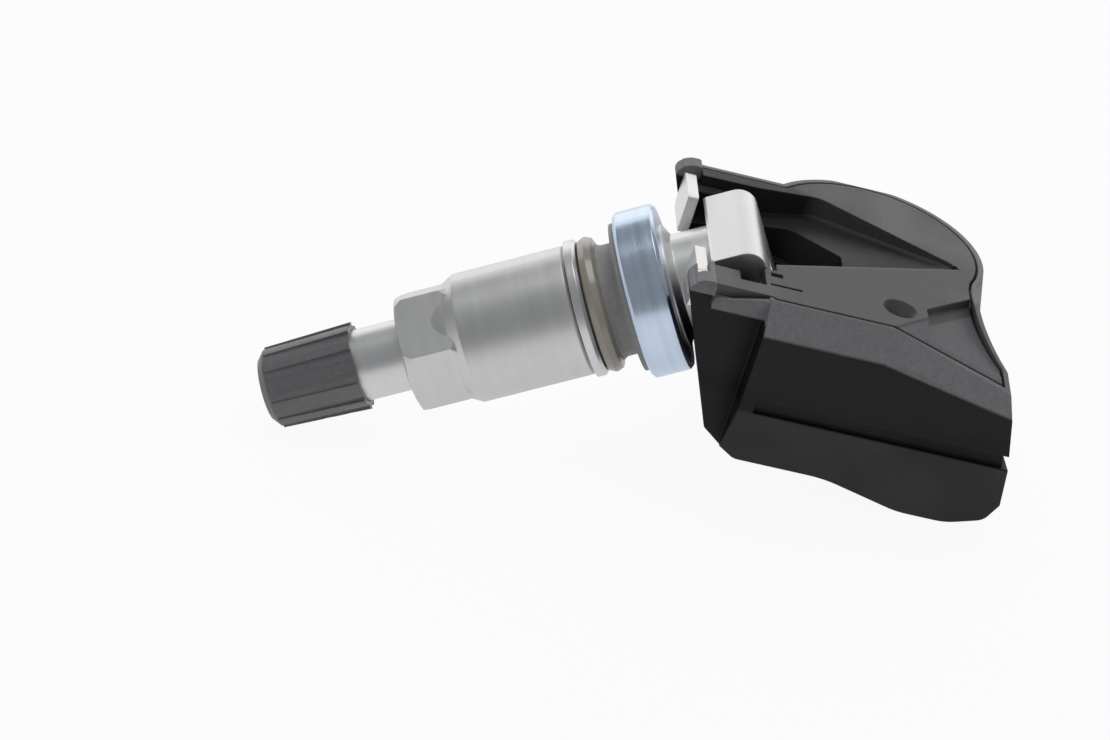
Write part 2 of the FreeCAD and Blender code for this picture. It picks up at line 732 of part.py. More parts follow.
def makeTub():
    tub = housingForm(0).cut(sideGroove())
    tub = tub.cut(facetCut(0)).cut(bandCut(0)).cut(frontRecess()).fuse(earTops())
    tub = tub.cut(lidZone(0, rimWidth - seamGap, coverNearEdge + seamGap))
    hollow = housingForm(wall)
    raised = hollow.copy()
    raised.translate(V(0, 0, coverThick))
    under = upright(blockEnd + wall, 60, -nearTopEdge + rimWidth, 30, topHeight - wall - 0.5, topHeight)
    hollow = hollow.fuse(raised.common(under)).common(upright(blockEnd + wall, 60, -30, 30, -30, 20))
    hollow = hollow.cut(bandCut(bandSkin))
    hollow = hollow.cut(Part.makeCylinder(headRadius + cradleWall, 60, V(0, -30, 0), V(0, 1, 0)))
    hollow = hollow.cut(upright(-20, headRadius, -cradleHalfWidth - wall, cradleHalfWidth + wall, 0, 20))
    hollow = hollow.cut(wallsForm(0).cut(wallsForm(rimWidth + 0.8)).common(
        upright(coverFront, 60, -30, 30, topHeight - coverThick - 1.2, 20)))
    tub = tub.cut(hollow)
    tub = tub.cut(headRoom()).cut(keeperSlots())
    tub = tub.cut(pocketTool(trayWall + trayFit, trayWall + trayFit))
    inside = housingForm(wall * 0.6)
    ring = Part.makeCylinder(cellRadius - 0.1, cellFoot - soleLow, V(bulgeAlong, bulgeAcross, soleLow))
    ring = ring.cut(Part.makeCylinder(cellSeatInner, cellFoot - soleLow, V(bulgeAlong, bulgeAcross, soleLow)))
    ring = ring.cut(upright(bulgeAlong - tabWidth, bulgeAlong + tabWidth, -30, bulgeAcross, soleLow, 0))
    tub = tub.fuse(ring.common(inside))
    for along, across in postPlaces:
        post = Part.makeCylinder(postRadius, boardTop - boardThick - soleLow, V(along, across, soleLow))
        post = post.fuse(Part.makeCylinder(postPin, boardTop + 0.3 - soleLow, V(along, across, soleLow)))
        tub = tub.fuse(post.common(inside))
    return tub.removeSplitter()


def pocketEdge():
    """The quarter round along the pocket's near edge."""
    end = V(*pocketCorners[0][:2], topHeight)
    line = end - V(*pocketCorners[1][:2], topHeight)
    length = line.Length
    line.normalize()
    outward = V(line.y, -line.x, 0)
    start = end - line * length
    up = V(0, 0, pocketRoll * 2)
    back = outward * (pocketRoll / 20)
    middle = start + (outward - V(0, 0, 1)) * (pocketRoll * (1 - math.sqrt(0.5)))
    foot = start - V(0, 0, pocketRoll)
    crest = start + outward * pocketRoll
    face = Part.Face(Part.Wire([Part.Arc(foot, middle, crest).toShape(),
                                Part.makePolygon([crest, crest + up, start - back + up, foot - back, foot])]))
    return face.extrude(line * length)


def makeCover():
    cover = housingForm(0).cut(facetCut(0)).cut(panelCut(0)).common(lidZone(0, rimWidth, coverNearEdge))
    tray = pocketTool(trayWall, trayWall).common(upright(-1, 60, -30, 30, -20, topHeight - coverThick + 0.1))
    cover = cover.fuse(tray.common(wallsForm(wall + trayFit)))
    boss = Part.makeCylinder(portBossRadius, topHeight - coverThick - portBossFoot + 0.1,
                             V(portAlong, -portAcross, portBossFoot))
    cover = cover.fuse(boss)
    cover = cover.cut(pocketTool(0, 0)).cut(headRoom()).cut(pocketEdge())
    cover = cover.cut(Part.makeCylinder(portRadius, 20, V(portAlong, -portAcross, portBossFoot - 1)))
    mouth = Part.makeCone(portRadius, portMouthRadius, portMouthDepth,
                          V(portAlong, -portAcross, topHeight - portMouthDepth))
    cover = cover.cut(mouth)
    for along, across, length, width in markSlots:
        mark = upright(along - length / 2, along + length / 2, across - width / 2, across + width / 2,
                       topHeight - markDepth, topHeight + 1)
        cover = cover.cut(mark)
    return cover.removeSplitter()


def makeKeeper(side):
    low = topHeight - keeperSink - keeperHeight
    high = topHeight - keeperSink
    corners = [(side * keeperFrom, low, 0), (side * keeperTo, low, keeperRound),
               (side * keeperTo, high, keeperRound), (side * keeperFrom, high, 0.4)]
    face = roundedFace(corners, lambda p: V(keeperAlong - keeperThick / 2, p.x, p.y))
    return face.extrude(V(keeperThick, 0, 0))


def makeCell():
    can = Part.makeCylinder(cellRadius, cellThick - cellStep, V(bulgeAlong, bulgeAcross, cellFoot + cellStep))
    return can.fuse(Part.makeCylinder(cellRadius - 1.2, cellStep, V(bulgeAlong, bulgeAcross, cellFoot)))


def makeBoard():
    board = upright(boardFrom, boardTo, -boardNear, boardFar, boardTop - boardThick, boardTop)
    board = board.common(housingForm(wall + boardFit))
    for along, across in postPlaces:
        board = board.cut(Part.makeCylinder(postPin + 0.05, 10, V(along, across, boardTop - 5)))
    return board


def makeSensorChip():
    chip = upright(portAlong - sensorSize / 2, portAlong + sensorSize / 2, -portAcross - sensorSize / 2,
                   -portAcross + sensorSize / 2, boardTop, boardTop + sensorHeight)
    return chip.cut(Part.makeCylinder(0.6, 1.2, V(portAlong, -portAcross, boardTop + sensorHeight - 1)))


def makePortSeal():
    low = boardTop + sensorHeight
    outer = Part.makeCylinder(portRadius + portSealWall, portBossFoot - low, V(portAlong, -portAcross, low))
    return outer.cut(Part.makeCylinder(portRadius, portBossFoot - low, V(portAlong, -portAcross, low)))


def makeCoil():
    near = coilAcross - coilLength / 2
    far = coilAcross + coilLength / 2
    core = upright(coilAlong - coilSide / 2, coilAlong + coilSide / 2, near, far,
                   boardTop, boardTop + coilSide)
    waist = upright(coilAlong - coilSide, coilAlong + coilSide, near + coilFlange, far - coilFlange,
                    boardTop - 1, boardTop + coilSide + 1)
    winding = Part.makeCylinder(coilSide / 2 - 0.25, coilLength - 2 * coilFlange,
                                V(coilAlong, near + coilFlange, boardTop + coilSide / 2), V(0, 1, 0))
    return core.cut(waist).fuse(winding)


def makeChips():
    chips = []
    for along, across, length, width, height in chipPlaces:
        chips.append(upright(along - length / 2, along + length / 2, across - width / 2, across + width / 2,
                             boardTop, boardTop + height))
    return Part.makeCompound(chips)


def makeAntenna():
    low = boardTop
    high = boardTop + antennaHeight
    far = antennaAcross + antennaWidth
    strip = upright(antennaFrom, antennaTo, antennaAcross, far, high - antennaThick, high)
    for along in (antennaFrom, antennaTo - antennaThick):
        strip = strip.fuse(upright(along, along + antennaThick, antennaAcross, far, low, high))
    return strip.removeSplitter()


def makeTopTab():
    high = boardTop - boardThick
    low = cellFoot + cellThick
    start = bulgeAlong - tabReach
    near, far = bulgeAcross - tabWidth / 2, bulgeAcross + tabWidth / 2
    strip = upright(start, bulgeAlong + tabReach, near, far, low, low + tabThick)
    riser = upright(start, start + tabThick, near, far, low, high)
    return strip.fuse(riser).removeSplitter()


def makeBottomTab():
    high = boardTop - boardThick
    across = bulgeAcross - cellRadius - tabThick - tabGap
    strip = upright(bulgeAlong - tabWidth / 2, bulgeAlong + tabWidth / 2, across, bulgeAcross + 2,
                    cellFoot - tabThick, cellFoot)
    riser = upright(bulgeAlong - tabWidth / 2, bulgeAlong + tabWidth / 2, across, across + tabThick,
                    cellFoot - tabThick, high)
    return strip.fuse(riser).removeSplitter()


# Resting place: the tilt at which the cap's rim and the housing's sole stand at one level
def lowestHousing(tilt):
    shape = sideFace()
    shape.rotate(V(0, 0, 0), V(0, 1, 0), tilt)
    return shape.BoundBox.ZMin


def lowestCap(tilt):
    angle = math.radians(tilt)
    x = -(capTo - capEdgeRound)
    z = -(capTipRadius - capEdgeRound)
    tip = x * math.sin(angle) + z * math.cos(angle) - capEdgeRound
    ribEnd = -(capTo - capEdgeRound)
    rib = ribEnd * math.sin(angle) - (capTipRadius + capRibHeight / 2) * math.cos(angle)
    return min(tip, rib)


def restTilt():
    low, high = 0.0, swivelAngle
    for _ in range(40):
        middle = (low + high) / 2
        if lowestHousing(middle) < lowestCap(swivelAngle - middle):
            high = middle
        else:
            low = middle
    return middle


housingTilt = restTilt()
stemTilt = swivelAngle - housingTilt


def placeStem(shape):
    shape.translate(V(rimSeat, 0, 0))
    shape.rotate(V(0, 0, 0), V(0, 1, 0), -stemTilt)
    return shape


def placeHousing(shape):
    shape.rotate(V(0, 0, 0), V(0, 1, 0), housingTilt)
    angle = math.radians(stemTilt)
    shape.translate(V(rimSeat * math.cos(angle), 0, rimSeat * math.sin(angle)))
    return shape


stemPieces = {"valve_stem": makeStem, "support_ring": makeSupportRing, "rubber_grommet": makeGrommet,
              "sealing_washer": makeSealWasher, "thrust_washer": makeThrustWasher, "collar_nut": makeCollarNut,
              "valve_cap": makeCap, "cap_seal": makeCapSeal, "core_body": makeCoreBody,
              "core_gasket": makeCoreGasket, "core_pin": makeCorePin, "core_spring": makeCoreSpring,
              "core_cup": makeCoreCup}
housingPieces = {"housing_tub": makeTub, "housing_cover": makeCover, "circuit_board": makeBoard,
                 "cell": makeCell, "sensor_chip": makeSensorChip, "port_seal": makePortSeal,
                 "wake_coil": makeCoil, "board_chips": makeChips, "antenna_strip": makeAntenna,
                 "cell_top_tab": makeTopTab, "cell_bottom_tab": makeBottomTab}


def main():
    os.makedirs("parts", exist_ok=True)
    shapes = {}
    for name, make in stemPieces.items():
        shapes[name] = placeStem(make())
    for name, make in housingPieces.items():
        shapes[name] = placeHousing(make())
    keepers = Part.makeCompound([makeKeeper(-1), makeKeeper(1)])
    shapes["keeper_plates"] = placeHousing(keepers)
    for name, shape in shapes.items():
        shape.exportStep("parts/" + name + ".step")
        print(name, "solids", len(shape.Solids), "volume", round(shape.Volume, 2), "valid", shape.isValid())
    print("tilts", housingTilt, stemTilt, "nut travel", nutTravel)


main()
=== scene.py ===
import bmesh
import bpy
import json
import math
from mathutils import Euler, Matrix, Vector


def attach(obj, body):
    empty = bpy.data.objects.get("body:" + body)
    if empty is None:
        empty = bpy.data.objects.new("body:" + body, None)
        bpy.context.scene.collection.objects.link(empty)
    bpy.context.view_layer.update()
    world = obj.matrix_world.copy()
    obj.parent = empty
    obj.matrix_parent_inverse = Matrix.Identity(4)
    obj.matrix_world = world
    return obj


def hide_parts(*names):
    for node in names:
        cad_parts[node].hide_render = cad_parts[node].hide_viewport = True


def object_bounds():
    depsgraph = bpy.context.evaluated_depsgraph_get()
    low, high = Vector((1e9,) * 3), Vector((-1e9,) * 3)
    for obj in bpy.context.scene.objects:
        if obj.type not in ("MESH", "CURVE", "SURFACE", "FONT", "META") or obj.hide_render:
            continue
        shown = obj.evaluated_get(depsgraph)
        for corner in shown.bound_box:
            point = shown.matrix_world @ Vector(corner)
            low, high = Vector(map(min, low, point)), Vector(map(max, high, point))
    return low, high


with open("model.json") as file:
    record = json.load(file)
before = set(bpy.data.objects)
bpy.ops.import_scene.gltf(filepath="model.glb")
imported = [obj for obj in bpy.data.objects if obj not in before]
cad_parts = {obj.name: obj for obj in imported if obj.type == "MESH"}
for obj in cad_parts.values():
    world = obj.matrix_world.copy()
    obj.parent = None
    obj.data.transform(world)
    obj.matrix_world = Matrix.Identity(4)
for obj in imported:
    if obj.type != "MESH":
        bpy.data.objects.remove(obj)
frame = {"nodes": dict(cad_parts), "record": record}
firstBounds = [list(corner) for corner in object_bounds()]
nodes = frame["nodes"]
scene = bpy.context.scene
millimetre = 0.001
turnAngle = 2 * math.pi

# Where the stem's axis and the housing lie in the row frame, with lengths in millimetres
stem = {"tilt": math.radians(20.96336), "seat": 13.7}
housing = {"tilt": math.radians(10.03664)}
housing["along"] = stem["seat"] * math.cos(stem["tilt"])
housing["up"] = stem["seat"] * math.sin(stem["tilt"])
housingTurn = (Matrix.Translation((housing["along"] * millimetre, 0.0, housing["up"] * millimetre))
               @ Matrix.Rotation(housing["tilt"], 4, "Y") @ Matrix.Scale(millimetre, 4))


# Shader helpers
def newGroup(name, inputs, outputs):
    group = bpy.data.node_groups.new(name, "ShaderNodeTree")
    for label, default in {"Vector": (0, 0, 0), **inputs}.items():
        kind = "NodeSocketVector" if isinstance(default, tuple) else "NodeSocketFloat"
        socket = group.interface.new_socket(label, in_out="INPUT", socket_type=kind)
        socket.default_value = default
    for label in outputs:
        group.interface.new_socket(label, in_out="OUTPUT", socket_type="NodeSocketFloat")
    return group, group.nodes.new("NodeGroupInput"), group.nodes.new("NodeGroupOutput")


def feed(tree, socket, value):
    if isinstance(value, (int, float, tuple)):
        socket.default_value = value
    else:
        tree.links.new(value, socket)


def maths(tree, operation, first, second=0.0, third=0.0):
    node = tree.nodes.new("ShaderNodeMath")
    node.operation = operation
    for socket, value in zip(node.inputs, (first, second, third)):
        feed(tree, socket, value)
    return node.outputs[0]


def ramp(tree, source, low, high, lowTo, highTo):
    node = tree.nodes.new("ShaderNodeMapRange")
    for label, value in (("Value", source), ("From Min", low), ("From Max", high), ("To Min", lowTo),
                         ("To Max", highTo)):
        feed(tree, node.inputs[label], value)
    return node.outputs["Result"]


def noise(tree, vector, scale, detail, roughness):
    node = tree.nodes.new("ShaderNodeTexNoise")
    for label, value in (("Vector", vector), ("Scale", scale), ("Detail", detail),
                         ("Roughness", roughness)):
        feed(tree, node.inputs[label], value)
    return node.outputs["Fac"]


def addShares(tree, first, firstShare, second, secondShare):
    return maths(tree, "MULTIPLY_ADD", first, firstShare, maths(tree, "MULTIPLY", second, secondShare))


def splitVector(tree, vector):
    node = tree.nodes.new("ShaderNodeSeparateXYZ")
    tree.links.new(vector, node.inputs[0])
    return node.outputs


def stemVector(tree):
    coords = tree.nodes.new("ShaderNodeTexCoord")
    mapping = tree.nodes.new("ShaderNodeMapping")
    mapping.inputs["Rotation"].default_value = (0.0, stem["tilt"], 0.0)
    mapping.inputs["Location"].default_value = (-stem["seat"] * millimetre, 0.0, 0.0)
    tree.links.new(coords.outputs["Object"], mapping.inputs["Vector"])
    return mapping.outputs["Vector"]


def housingVector(tree):
    coords = tree.nodes.new("ShaderNodeTexCoord")
    mapping = tree.nodes.new("ShaderNodeMapping")
    back = Matrix.Rotation(-housing["tilt"], 4, "Y")
    place = back @ Vector((-housing["along"] * millimetre, 0.0, -housing["up"] * millimetre))
    mapping.inputs["Rotation"].default_value = (0.0, -housing["tilt"], 0.0)
    mapping.inputs["Location"].default_value = place
    tree.links.new(coords.outputs["Object"], mapping.inputs["Vector"])
    return mapping.outputs["Vector"]


def mixColor(tree, factor, first, second):
    node = tree.nodes.new("ShaderNodeMix")
    node.data_type = "RGBA"
    colors = [socket for socket in node.inputs if socket.type == "RGBA"]
    for socket, value in zip(colors, (first, second)):
        feed(tree, socket, (*value, 1.0) if isinstance(value, tuple) else value)
    feed(tree, node.inputs[0], factor)
    return [socket for socket in node.outputs if socket.type == "RGBA"][0]


def addBump(tree, shader, height, distance):
    bump = tree.nodes.new("ShaderNodeBump")
    bump.inputs["Distance"].default_value = distance * millimetre
    tree.links.new(height, bump.inputs["Height"])
    if shader.inputs["Normal"].is_linked:
        tree.links.new(shader.inputs["Normal"].links[0].from_socket, bump.inputs["Normal"])
    tree.links.new(bump.outputs["Normal"], shader.inputs["Normal"])


# Noises by scale to the metre, detail and roughness, and the shares in which they add up
grainNoise = {"fine": (5200.0, 2.0, 0.6), "coarse": (1500.0, 3.0, 0.55), "broad": (90.0, 2.0, 0.5)}
grainShare = {"fine": 0.6, "coarse": 0.4}
ringNoise = {"fine": (9000.0, 3.0, 0.7), "broad": (1100.0, 4.0, 0.6), "patch": (260.0, 3.0, 0.5)}
ringShare = {"fine": 0.5, "broad": 0.5}
streakShare = {"broad": 0.65, "patch": 0.35}
# The span that a noise's values fill, and the narrower one that gives colours their contrast
noiseSpan = (0.3, 0.7)
colorSpan = (0.35, 0.65)
grainShade = 0.25
shelfFade = (-0.0001, 0.0002)
threadRelief = 0.5
edgeSamples = 6
plainEdge = 0.15
plainSpecular = 0.5
black = (0.0, 0.0, 0.0)


# Fine moulded grain with broad, faint flow marks
def makeGrainGroup():
    group, source, target = newGroup("mouldedGrain", {"Grain": 1.0}, ["Height", "Sheen"])
    fine, coarse, broad = [noise(group, source.outputs["Vector"], *grainNoise[key])
                           for key in ("fine", "coarse", "broad")]
    height = addShares(group, fine, grainShare["fine"], coarse, grainShare["coarse"])
    group.links.new(maths(group, "MULTIPLY", height, source.outputs["Grain"]), target.inputs["Height"])
    group.links.new(ramp(group, broad, *noiseSpan, 0.0, 1.0), target.inputs["Sheen"])
    return group


# Fine rings left by the lathe round the X axis of the given vector
def makeRingGroup():
    group, source, target = newGroup("turnedRings", {"Density": 1.0}, ["Height", "Streak"])
    along = splitVector(group, source.outputs["Vector"])["X"]
    along = maths(group, "MULTIPLY", along, source.outputs["Density"])
    join = group.nodes.new("ShaderNodeCombineXYZ")
    group.links.new(along, join.inputs["X"])
    fine, broad = [noise(group, join.outputs[0], *ringNoise[key]) for key in ("fine", "broad")]
    patch = noise(group, source.outputs["Vector"], *ringNoise["patch"])
    height = addShares(group, fine, ringShare["fine"], broad, ringShare["broad"])
    streak = addShares(group, broad, streakShare["broad"], patch, streakShare["patch"])
    group.links.new(height, target.inputs["Height"])
    group.links.new(streak, target.inputs["Streak"])
    return group


# The flanks of a right-handed screw thread round the X axis, between two stations
def makeThreadGroup():
    inputs = {"Pitch": 0.0008, "From": 0.0, "To": 0.01, "Least Radius": 0.003}
    group, source, target = newGroup("screwThread", inputs, ["Height"])
    place = splitVector(group, source.outputs["Vector"])
    station = maths(group, "MULTIPLY", place["X"], -1.0)
    turn = maths(group, "DIVIDE", maths(group, "ARCTAN2", place["Y"], place["Z"]), turnAngle)
    phase = maths(group, "SUBTRACT", maths(group, "DIVIDE", station, source.outputs["Pitch"]), turn)
    wave = maths(group, "PINGPONG", phase, 0.5)
    radius = maths(group, "SQRT", maths(group, "MULTIPLY_ADD", place["Y"], place["Y"],
                                        maths(group, "MULTIPLY", place["Z"], place["Z"])))
    for operation, value, limit in (("GREATER_THAN", station, "From"), ("LESS_THAN", station, "To"),
                                    ("GREATER_THAN", radius, "Least Radius")):
        inside = maths(group, operation, value, source.outputs[limit])
        wave = maths(group, "MULTIPLY", wave, inside)
    group.links.new(wave, target.inputs["Height"])
    return group


# Where the housing's walls face up and catch the light: above the chamfer's lower edge
def makeShelfGroup():
    inputs = {"Edge": 0.0008, "Bend": 0.0135, "Slope": 0.2, "Ledge": 0.0016, "Ledge To": 0.0006,
              "Flange": 0.003, "Flange To": -0.0051}
    group, source, target = newGroup("upperShelf", inputs, ["Mask"])
    place = splitVector(group, source.outputs["Vector"])
    past = maths(group, "MAXIMUM", maths(group, "SUBTRACT", place["X"], source.outputs["Bend"]), 0.0)
    drop = maths(group, "MULTIPLY", past, source.outputs["Slope"])
    edge = maths(group, "SUBTRACT", source.outputs["Edge"], drop)
    for limit, level in (("Ledge To", "Ledge"), ("Flange To", "Flange")):
        before = maths(group, "LESS_THAN", place["X"], source.outputs[limit])
        step = maths(group, "SUBTRACT", source.outputs[level], edge)
        edge = maths(group, "MULTIPLY_ADD", before, step, edge)
    above = maths(group, "SUBTRACT", place["Z"], edge)
    group.links.new(ramp(group, above, *shelfFade, 0.0, 1.0), target.inputs["Mask"])
    return group


# Between two edges that meet at a tip: the three-cornered pocket, or all on one side of a line
def makeEdgesGroup():
    inputs = {"Tip": (0.0226, 0.0035, 0), "Near Side": (0.383, -0.924, 0), "Far Side": (0.517, 0.856, 0),
              "Roll": 0.001}
    group, source, target = newGroup("betweenEdges", inputs, ["Mask"])
    offset = group.nodes.new("ShaderNodeVectorMath")
    offset.operation = "SUBTRACT"
    group.links.new(source.outputs["Vector"], offset.inputs[0])
    group.links.new(source.outputs["Tip"], offset.inputs[1])
    inside = 1.0
    for label in ("Near Side", "Far Side"):
        dot = group.nodes.new("ShaderNodeVectorMath")
        dot.operation = "DOT_PRODUCT"
        group.links.new(offset.outputs[0], dot.inputs[0])
        group.links.new(source.outputs[label], dot.inputs[1])
        depth = maths(group, "MULTIPLY", dot.outputs["Value"], -1.0)
        depth = maths(group, "DIVIDE", depth, source.outputs["Roll"])
        inside = maths(group, "MULTIPLY", inside, ramp(group, depth, 0.0, 1.0, 0.0, 1.0))
    group.links.new(inside, target.inputs["Mask"])
    return group


# The wall's shade above the crease, strongest at the groove and fading upwards
def makeCreaseGroup():
    inputs = {"Low": -0.0085, "Middle": -0.0072, "High": -0.0045}
    group, source, target = newGroup("creaseShade", inputs, ["Mask"])
    height = splitVector(group, source.outputs["Vector"])["Z"]
    below = ramp(group, height, source.outputs["Low"], source.outputs["Middle"], 0.0, 1.0)
    above = ramp(group, height, source.outputs["Middle"], source.outputs["High"], 1.0, 0.0)
    group.links.new(maths(group, "MULTIPLY", below, above), target.inputs["Mask"])
    return group


groups = {"grain": makeGrainGroup(), "rings": makeRingGroup(), "thread": makeThreadGroup(),
          "shelf": makeShelfGroup(), "edges": makeEdgesGroup(), "crease": makeCreaseGroup()}


def useGroup(tree, key, vector, settings=()):
    node = tree.nodes.new("ShaderNodeGroup")
    node.node_tree = groups[key]
    tree.links.new(vector, node.inputs["Vector"])
    for label, value in settings:
        node.inputs[label].default_value = value
    return node.outputs


def startMaterial(name, settings, metallic):
    material = bpy.data.materials.new(name)
    material.use_nodes = True
    shader = material.node_tree.nodes["Principled BSDF"]
    shader.inputs["Base Color"].default_value = (*settings["color"], 1.0)
    shader.inputs["Roughness"].default_value = settings["roughness"]
    shader.inputs["Metallic"].default_value = metallic
    shader.inputs["Specular IOR Level"].default_value = settings.get("specular", plainSpecular)
    edge = material.node_tree.nodes.new("ShaderNodeBevel")
    edge.samples = edgeSamples
    edge.inputs["Radius"].default_value = settings.get("edge", plainEdge) * millimetre
    material.node_tree.links.new(edge.outputs["Normal"], shader.inputs["Normal"])
    return material, shader


def spreadRoughness(tree, shader, value, settings):
    low = settings["roughness"] - settings["spread"]
    high = settings["roughness"] + settings["spread"]
    tree.links.new(ramp(tree, value, *noiseSpan, low, high), shader.inputs["Roughness"])


def mouldedPlastic(name, settings):
    material, shader = startMaterial(name, settings, 0.0)
    tree = material.node_tree
    vector = housingVector(tree)
    grain = useGroup(tree, "grain", vector, [("Grain", settings["grain"])])
    spreadRoughness(tree, shader, grain["Sheen"], settings)
    color = settings["color"]
    for zone in settings.get("zones", []):
        mask = useGroup(tree, zone["group"], vector, zone.get("inputs", {}).items())["Mask"]
        color = mixColor(tree, mask, color, zone["color"])
    darker = mixColor(tree, grainShade, color, black)
    tree.links.new(mixColor(tree, ramp(tree, grain["Height"], *colorSpan, 0.0, 1.0), darker, color),
                   shader.inputs["Base Color"])
    addBump(tree, shader, grain["Height"], settings["depth"])
    return material


def turnedMetal(name, settings):
    material, shader = startMaterial(name, settings, 1.0)
    tree = material.node_tree
    vector = stemVector(tree)
    rings = useGroup(tree, "rings", vector, [("Density", settings["density"])])
    spreadRoughness(tree, shader, rings["Streak"], settings)
    tree.links.new(mixColor(tree, ramp(tree, rings["Streak"], *colorSpan, 0.0, 1.0), settings["dark"],
                            settings["color"]), shader.inputs["Base Color"])
    addBump(tree, shader, rings["Height"], settings["depth"])
    for run in settings.get("threads", []):
        limits = [(label, value * millimetre) for label, value in run.items()]
        thread = useGroup(tree, "thread", vector, limits)
        addBump(tree, shader, thread["Height"], threadRelief)
    return material


plasticSettings = {
    "housing": {"color": (0.013, 0.013, 0.014), "roughness": 0.5, "specular": 0.22,
                "grain": 1.0, "spread": 0.05, "depth": 0.02, "edge": 0.3,
                # painted light: the shelf zone colours the up-facing chamfer band far lighter than the
                # same plastic's wall below
                "zones": [{"group": "shelf", "color": (0.25, 0.25, 0.256)},
                          {"group": "crease", "color": (0.003, 0.003, 0.003)}]},
    "cover": {"color": (0.085, 0.085, 0.088), "roughness": 0.46, "specular": 0.5,
              "grain": 1.0, "spread": 0.05, "depth": 0.02, "edge": 0.2,
              # painted shade: the three-cornered pocket is coloured near black where it lies in shadow
              "zones": [{"group": "edges", "color": (0.012, 0.012, 0.013)},
                        # painted light: the sloped facet panel by the rear corner is coloured lighter
                        # where it faces the light
                        {"group": "edges", "color": (0.17, 0.17, 0.175),
                         "inputs": {"Tip": (0.0135, -0.0138, 0.0), "Near Side": (-0.683, 0.731, 0.0),
                                    "Far Side": (-0.683, 0.731, 0.0), "Roll": 0.0004}}]},
    "cap": {"color": (0.165, 0.165, 0.169), "roughness": 0.42, "specular": 0.9,
            "grain": 1.0, "spread": 0.06, "depth": 0.03},
    "grommet": {"color": (0.45, 0.45, 0.44), "roughness": 0.55, "specular": 0.4,
                "grain": 0.8, "spread": 0.05, "depth": 0.02},
    "seal_washer": {"color": (0.48, 0.435, 0.37), "roughness": 0.24, "specular": 1.0,
                    "grain": 0.6, "spread": 0.06, "depth": 0.01},
    "core_rubber": {"color": (0.03, 0.03, 0.03), "roughness": 0.6, "specular": 0.4,
                    "grain": 0.6, "spread": 0.05, "depth": 0.01},
    "board": {"color": (0.012, 0.1, 0.045), "roughness": 0.35, "specular": 0.5,
              "grain": 0.4, "spread": 0.05, "depth": 0.005},
    "chip": {"color": (0.02, 0.02, 0.02), "roughness": 0.4, "specular": 0.5,
             "grain": 0.6, "spread": 0.05, "depth": 0.01}}
metalSettings = {
    "stem": {"color": (0.74, 0.74, 0.735), "dark": (0.66, 0.66, 0.655), "roughness": 0.38, "spread": 0.05,
             "density": 1.0, "depth": 0.01},
    "nut": {"color": (0.7, 0.7, 0.69), "dark": (0.61, 0.61, 0.6), "roughness": 0.42, "spread": 0.05,
            "density": 1.0, "depth": 0.01},
    "washer": {"color": (0.74, 0.74, 0.74), "dark": (0.6, 0.6, 0.6), "roughness": 0.34, "spread": 0.06,
               "density": 1.0, "depth": 0.01},
    "ring": {"color": (0.63, 0.73, 0.87), "dark": (0.5, 0.59, 0.72), "roughness": 0.24, "spread": 0.06,
             "density": 1.2, "depth": 0.015},
    "keeper": {"color": (0.88, 0.86, 0.83), "dark": (0.82, 0.8, 0.78), "roughness": 0.4, "spread": 0.05,
               "density": 0.6, "depth": 0.006},
    "core_brass": {"color": (0.78, 0.6, 0.3), "dark": (0.6, 0.45, 0.2), "roughness": 0.3, "spread": 0.08,
                   "density": 1.5, "depth": 0.01,
                   "threads": [{"Pitch": 0.5, "From": 45.2, "To": 50.3, "Least Radius": 2.4}]},
    "spring": {"color": (0.7, 0.7, 0.7), "dark": (0.55, 0.55, 0.55), "roughness": 0.3, "spread": 0.05,
               "density": 2.0, "depth": 0.005},
    "cell_can": {"color": (0.75, 0.75, 0.75), "dark": (0.65, 0.65, 0.65), "roughness": 0.25,
                 "spread": 0.05, "density": 0.5, "depth": 0.005},
    "coil": {"color": (0.7, 0.35, 0.15), "dark": (0.5, 0.22, 0.08), "roughness": 0.35, "spread": 0.05,
             "density": 2.0, "depth": 0.03}}
materials = {}
for key, settings in plasticSettings.items():
    materials[key] = mouldedPlastic("look_" + key, settings)
for key, settings in metalSettings.items():
    materials[key] = turnedMetal("look_" + key, settings)
looks = {"cap_rubber": "core_rubber", "port_rubber": "grommet", "antenna": "core_brass", "tab": "spring"}
for entry in frame["record"]["subparts"]:
    node = nodes[entry["node"]]
    key = entry["material_slot"]
    node.data.materials.clear()
    node.data.materials.append(materials[looks.get(key, key)])
print("materials made")


# Repeated pieces, made by Geometry Nodes: a row of one shape along a line
def makeRowGroup(name, inputs, makeShape):
    group = bpy.data.node_groups.new(name, "GeometryNodeTree")
    shared = [("Count", "NodeSocketInt"), ("Start", "NodeSocketVector"), ("Step", "NodeSocketVector"),
              ("Material", "NodeSocketMaterial")]
    for label, kind in shared + inputs:
        group.interface.new_socket(label, in_out="INPUT", socket_type=kind)
    group.interface.new_socket("Geometry", in_out="OUTPUT", socket_type="NodeSocketGeometry")
    source = group.nodes.new("NodeGroupInput").outputs
    target = group.nodes.new("NodeGroupOutput")
    line = group.nodes.new("GeometryNodeMeshLine")
    spread = group.nodes.new("GeometryNodeInstanceOnPoints")
    real = group.nodes.new("GeometryNodeRealizeInstances")
    paint = group.nodes.new("GeometryNodeSetMaterial")
    group.links.new(source["Count"], line.inputs["Count"])
    group.links.new(source["Start"], line.inputs["Start Location"])
    group.links.new(source["Step"], line.inputs["Offset"])
    group.links.new(line.outputs["Mesh"], spread.inputs["Points"])
    group.links.new(makeShape(group, source), spread.inputs["Instance"])
    group.links.new(spread.outputs["Instances"], real.inputs["Geometry"])
    group.links.new(real.outputs["Geometry"], paint.inputs["Geometry"])
    group.links.new(source["Material"], paint.inputs["Material"])
    group.links.new(paint.outputs["Geometry"], target.inputs["Geometry"])
    return group


def blockShape(group, source):
    cube = group.nodes.new("GeometryNodeMeshCube")
    group.links.new(source["Size"], cube.inputs["Size"])
    return cube.outputs["Mesh"]


hoopDetail = {"around": 24, "wire": 8}


